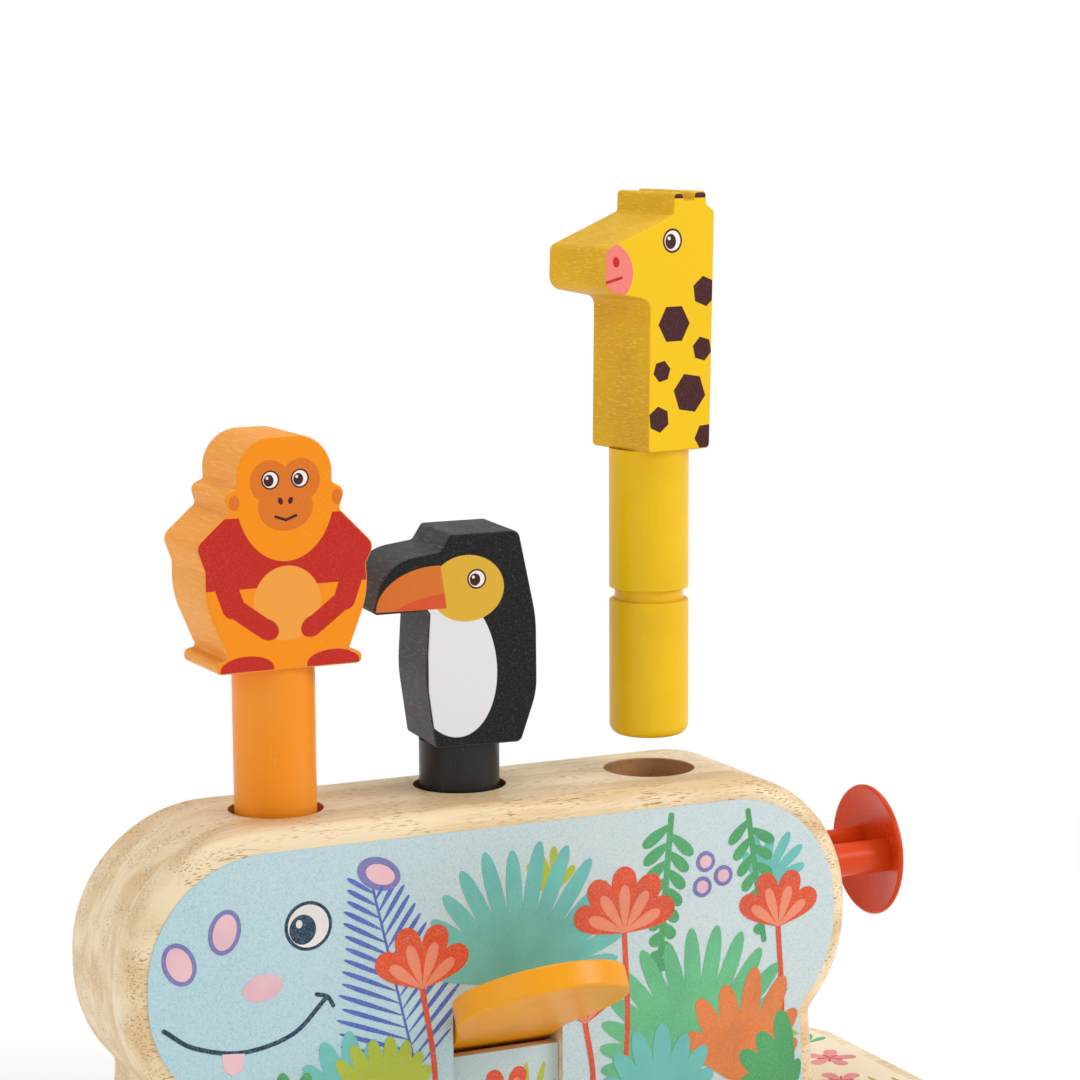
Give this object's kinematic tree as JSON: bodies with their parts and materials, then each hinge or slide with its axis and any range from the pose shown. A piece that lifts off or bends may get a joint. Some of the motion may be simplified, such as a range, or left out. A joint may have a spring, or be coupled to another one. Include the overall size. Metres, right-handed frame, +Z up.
{
  "type": "pop up animal toy",
  "caption": "Wooden hippo block on a board with three peg animals that spring, lift and fly out of bores, a front lever and a side push knob",
  "frame": {"origin": "centre of the board's underside, on the surface the toy stands on", "axes": "+Z up, +X along the hippo towards its push knob, -Y is the printed front"},
  "size_m": [0.27, 0.1125, 0.265],
  "materials": {
    "body_wood": "satin varnished pale wood",
    "base_wood": "satin varnished pale wood",
    "plain_wood": "bare sanded wood",
    "front_print": "printed thin sheet, satin",
    "slot_print": "printed thin sheet, satin",
    "base_print": "printed thin sheet, satin",
    "screw_steel": "zinc plated steel",
    "spring_steel": "spring steel",
    "paddle_paint": "satin yellow-orange paint on wood",
    "knob_paint": "satin orange-red paint on wood",
    "felt": "grey pressed felt",
    "monkey_paint": "satin orange paint on wood",
    "monkey_peg_paint": "satin orange paint on wood",
    "toucan_paint": "satin black paint on wood",
    "toucan_peg_paint": "satin black paint on wood",
    "giraffe_paint": "satin yellow paint on wood",
    "giraffe_peg_paint": "satin yellow paint on wood"
  },
  "bodies": {
    "root": {"hippo_body": "body_wood", "front_picture_sheet": "front_print", "base_board": "base_wood", "base_picture_sheet": "base_print", "base_screws": "screw_steel", "slot_cover": "body_wood", "slot_cover_sheet": "slot_print", "lever_pivot_pin": "screw_steel", "monkey_spring": "spring_steel", "giraffe_spring": "spring_steel", "latch_clip": "spring_steel", "knob_spring": "spring_steel", "latch_cover": "body_wood", "latch_cover_screws": "screw_steel"},
    "lever": {"lever_paddle": "paddle_paint"},
    "knob": {"knob_disc": "knob_paint", "knob_front_rod": "knob_paint", "knob_rear_rod": "knob_paint", "knob_crosshead": "plain_wood"},
    "monkey_plunger": {"monkey_plunger": "plain_wood"},
    "monkey_pad": {"monkey_pad": "felt"},
    "monkey": {"monkey_block": "monkey_paint", "monkey_peg": "monkey_peg_paint"},
    "toucan_lifter": {"toucan_lifter": "plain_wood"},
    "toucan_pad": {"toucan_pad": "felt"},
    "toucan": {"toucan_block": "toucan_paint", "toucan_peg": "toucan_peg_paint"},
    "giraffe_plunger": {"giraffe_plunger": "plain_wood"},
    "giraffe_pad": {"giraffe_pad": "felt"},
    "giraffe": {"giraffe_block": "giraffe_paint", "giraffe_peg": "giraffe_peg_paint"}
  },
  "joints": [
    {"name": "lever_tilt", "type": "hinge", "parent": "root", "child": "lever", "pos_m": [0, -0.02, 0.0426], "axis": [1, 0, 0], "range_deg": [0, 32]},
    {"name": "toucan_lift", "type": "slide", "parent": "root", "child": "toucan_lifter", "axis": [0, 0, 1], "range_m": [-0.0002, 0.0139]},
    {"name": "toucan_spin", "type": "hinge", "parent": "toucan_lifter", "child": "toucan_pad", "pos_m": [0, 0.0052, 0.045], "axis": [0, 0, 1], "continuous": true},
    {"name": "toucan_pull_out", "type": "slide", "parent": "toucan_pad", "child": "toucan", "axis": [0, 0, 1], "range_m": [0, 0.06]},
    {"name": "monkey_spring_travel", "type": "slide", "parent": "root", "child": "monkey_plunger", "axis": [0, 0, 1], "range_m": [-0.0384, 0], "stiffness_N_per_m": 60, "springref_m": 0.012, "deforming": ["monkey_spring"]},
    {"name": "monkey_spin", "type": "hinge", "parent": "monkey_plunger", "child": "monkey_pad", "pos_m": [-0.0557, 0, 0.06], "axis": [0, 0, 1], "continuous": true},
    {"name": "monkey_pull_out", "type": "slide", "parent": "monkey_pad", "child": "monkey", "axis": [0, 0, 1], "range_m": [0, 0.08]},
    {"name": "giraffe_spring_travel", "type": "slide", "parent": "root", "child": "giraffe_plunger", "axis": [0, 0, 1], "range_m": [-0.0384, 0], "stiffness_N_per_m": 60, "springref_m": 0.012, "deforming": ["giraffe_spring", "latch_clip"]},
    {"name": "giraffe_spin", "type": "hinge", "parent": "giraffe_plunger", "child": "giraffe_pad", "pos_m": [0.0557, 0, 0.06], "axis": [0, 0, 1], "continuous": true},
    {"name": "giraffe_flight", "type": "slide", "parent": "giraffe_pad", "child": "giraffe", "axis": [0, 0, 1], "range_m": [-0.0506, 0.06]},
    {"name": "knob_push", "type": "slide", "parent": "root", "child": "knob", "axis": [1, 0, 0], "range_m": [-0.01, 0], "stiffness_N_per_m": 250, "springref_m": 0.004, "deforming": ["knob_spring"]}
  ],
  "couplings": [
    {"joint": "toucan_lift", "follows": "lever_tilt", "m_per_rad": 0.02446}
  ]
}
